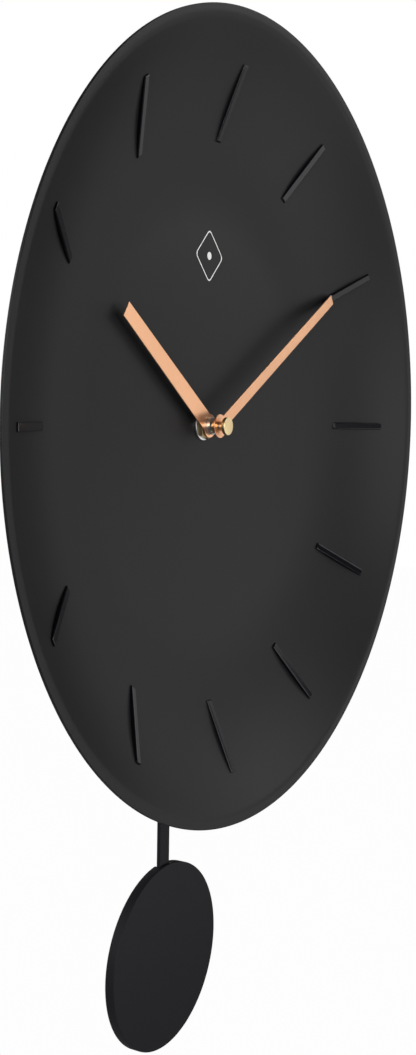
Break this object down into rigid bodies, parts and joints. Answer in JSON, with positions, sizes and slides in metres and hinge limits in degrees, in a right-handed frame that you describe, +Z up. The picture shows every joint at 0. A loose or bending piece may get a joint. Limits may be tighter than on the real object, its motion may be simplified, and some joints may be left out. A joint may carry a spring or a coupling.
{
  "type": "pendulum wall clock",
  "caption": "Round wall clock with a deep black dished dial, raised bar hour markers, flat copper hands and a plain disc pendulum hanging below.",
  "frame": {"origin": "on the movement's flat back face, where it meets the wall, on the axis of the hands", "axes": "+X to the right as seen from the front, +Y into the wall, +Z up"},
  "size_m": [0.3, 0.05, 0.4008],
  "materials": {
    "dial_black": "satin black paint on spun sheet metal, slightly lighter than the bars",
    "marker_black": "glossy black bars with crisp chamfers",
    "copper_hands": "fine-brushed satin, copper or rose-gold coloured anodising",
    "brass": "polished brass",
    "bright_steel": "bright plated steel",
    "case_plastic": "moulded black plastic, fine matte texture",
    "knob_plastic": "pale grey moulded plastic",
    "wheel_plastic": "natural off-white acetal",
    "rubber": "dull black rubber",
    "copper_wire": "lacquered copper winding, satin",
    "board": "green board with satin solder mask",
    "battery_jacket": "plain printed jacket in dark blue-grey with a copper band, bright ends",
    "magnet": "dark grey sintered magnet",
    "pendulum_black": "matte black paint"
  },
  "bodies": {
    "root": {"dial_dish": "dial_black", "hour_marker_01": "marker_black", "hour_marker_02": "marker_black", "hour_marker_03": "marker_black", "hour_marker_04": "marker_black", "hour_marker_05": "marker_black", "hour_marker_06": "marker_black", "hour_marker_07": "marker_black", "hour_marker_08": "marker_black", "hour_marker_09": "marker_black", "hour_marker_10": "marker_black", "hour_marker_11": "marker_black", "hour_marker_12": "marker_black", "dial_washer": "bright_steel", "dial_nut": "brass", "rubber_washer": "rubber", "threaded_bush": "brass", "case_front": "case_plastic", "rear_cover": "case_plastic", "hanger_bracket": "bright_steel", "hanger_rivet_1": "bright_steel", "hanger_rivet_2": "bright_steel", "cover_screw_1": "bright_steel", "cover_screw_2": "bright_steel", "cover_screw_3": "bright_steel", "cover_screw_4": "bright_steel", "motor_stator": "bright_steel", "motor_coil": "copper_wire", "circuit_board": "board", "quartz_crystal": "bright_steel", "bearing_plate": "case_plastic", "battery_contact_positive": "bright_steel", "battery_contact_negative": "bright_steel", "drive_coil": "copper_wire", "pendulum_pivot_pin": "bright_steel"},
    "minute": {"minute_hand": "copper_hands", "minute_hand_bush": "brass", "hand_cap_nut": "brass", "centre_wheel_arbor": "brass"},
    "hour": {"hour_hand": "copper_hands", "hour_hand_ferrule": "bright_steel", "hour_wheel": "wheel_plastic"},
    "intermediate": {"intermediate_wheel": "wheel_plastic"},
    "knob": {"setting_knob": "knob_plastic"},
    "third": {"third_wheel": "wheel_plastic"},
    "seconds": {"seconds_wheel": "wheel_plastic"},
    "fifth": {"fifth_wheel": "wheel_plastic"},
    "rotor": {"motor_rotor": "magnet"},
    "cell": {"battery": "battery_jacket"},
    "pendulum": {"pendulum_drive_arm": "case_plastic", "drive_magnet": "magnet", "pendulum_rod": "pendulum_black", "bob_shell": "pendulum_black", "bob_weight": "bright_steel"}
  },
  "joints": [
    {"name": "minute_spin", "type": "hinge", "parent": "root", "child": "minute", "pos_m": [0, -0.0335, 0], "axis": [0, 1, 0], "continuous": true},
    {"name": "hour_spin", "type": "hinge", "parent": "root", "child": "hour", "pos_m": [0, -0.0288, 0], "axis": [0, 1, 0], "continuous": true},
    {"name": "intermediate_spin", "type": "hinge", "parent": "root", "child": "intermediate", "pos_m": [0, -0.01, -0.01], "axis": [0, 1, 0], "continuous": true},
    {"name": "knob_spin", "type": "hinge", "parent": "root", "child": "knob", "pos_m": [0.00866, -0.01, -0.015], "axis": [0, 1, 0], "continuous": true},
    {"name": "third_spin", "type": "hinge", "parent": "root", "child": "third", "pos_m": [-0.01008, -0.01, 0], "axis": [0, 1, 0], "continuous": true},
    {"name": "seconds_spin", "type": "hinge", "parent": "root", "child": "seconds", "pos_m": [0, -0.01, 0], "axis": [0, 1, 0], "continuous": true},
    {"name": "fifth_spin", "type": "hinge", "parent": "root", "child": "fifth", "pos_m": [0.0105, -0.01, 0], "axis": [0, 1, 0], "continuous": true},
    {"name": "rotor_spin", "type": "hinge", "parent": "root", "child": "rotor", "pos_m": [0.0189, -0.01, 0], "axis": [0, 1, 0], "continuous": true},
    {"name": "pendulum_swing", "type": "hinge", "parent": "root", "child": "pendulum", "pos_m": [0, -0.01, -0.026], "axis": [0, 1, 0], "range_deg": [-8, 8]},
    {"name": "battery_slide", "type": "slide", "parent": "root", "child": "cell", "axis": [0, 1, 0], "range_m": [0, 0.022]}
  ],
  "couplings": [
    {"joint": "hour_spin", "follows": "minute_spin", "ratio": 0.083333},
    {"joint": "intermediate_spin", "follows": "minute_spin", "ratio": -0.33333},
    {"joint": "knob_spin", "follows": "minute_spin", "ratio": 1},
    {"joint": "third_spin", "follows": "minute_spin", "ratio": -8},
    {"joint": "seconds_spin", "follows": "minute_spin", "ratio": 60},
    {"joint": "fifth_spin", "follows": "minute_spin", "ratio": -360},
    {"joint": "rotor_spin", "follows": "minute_spin", "ratio": 1800}
  ]
}
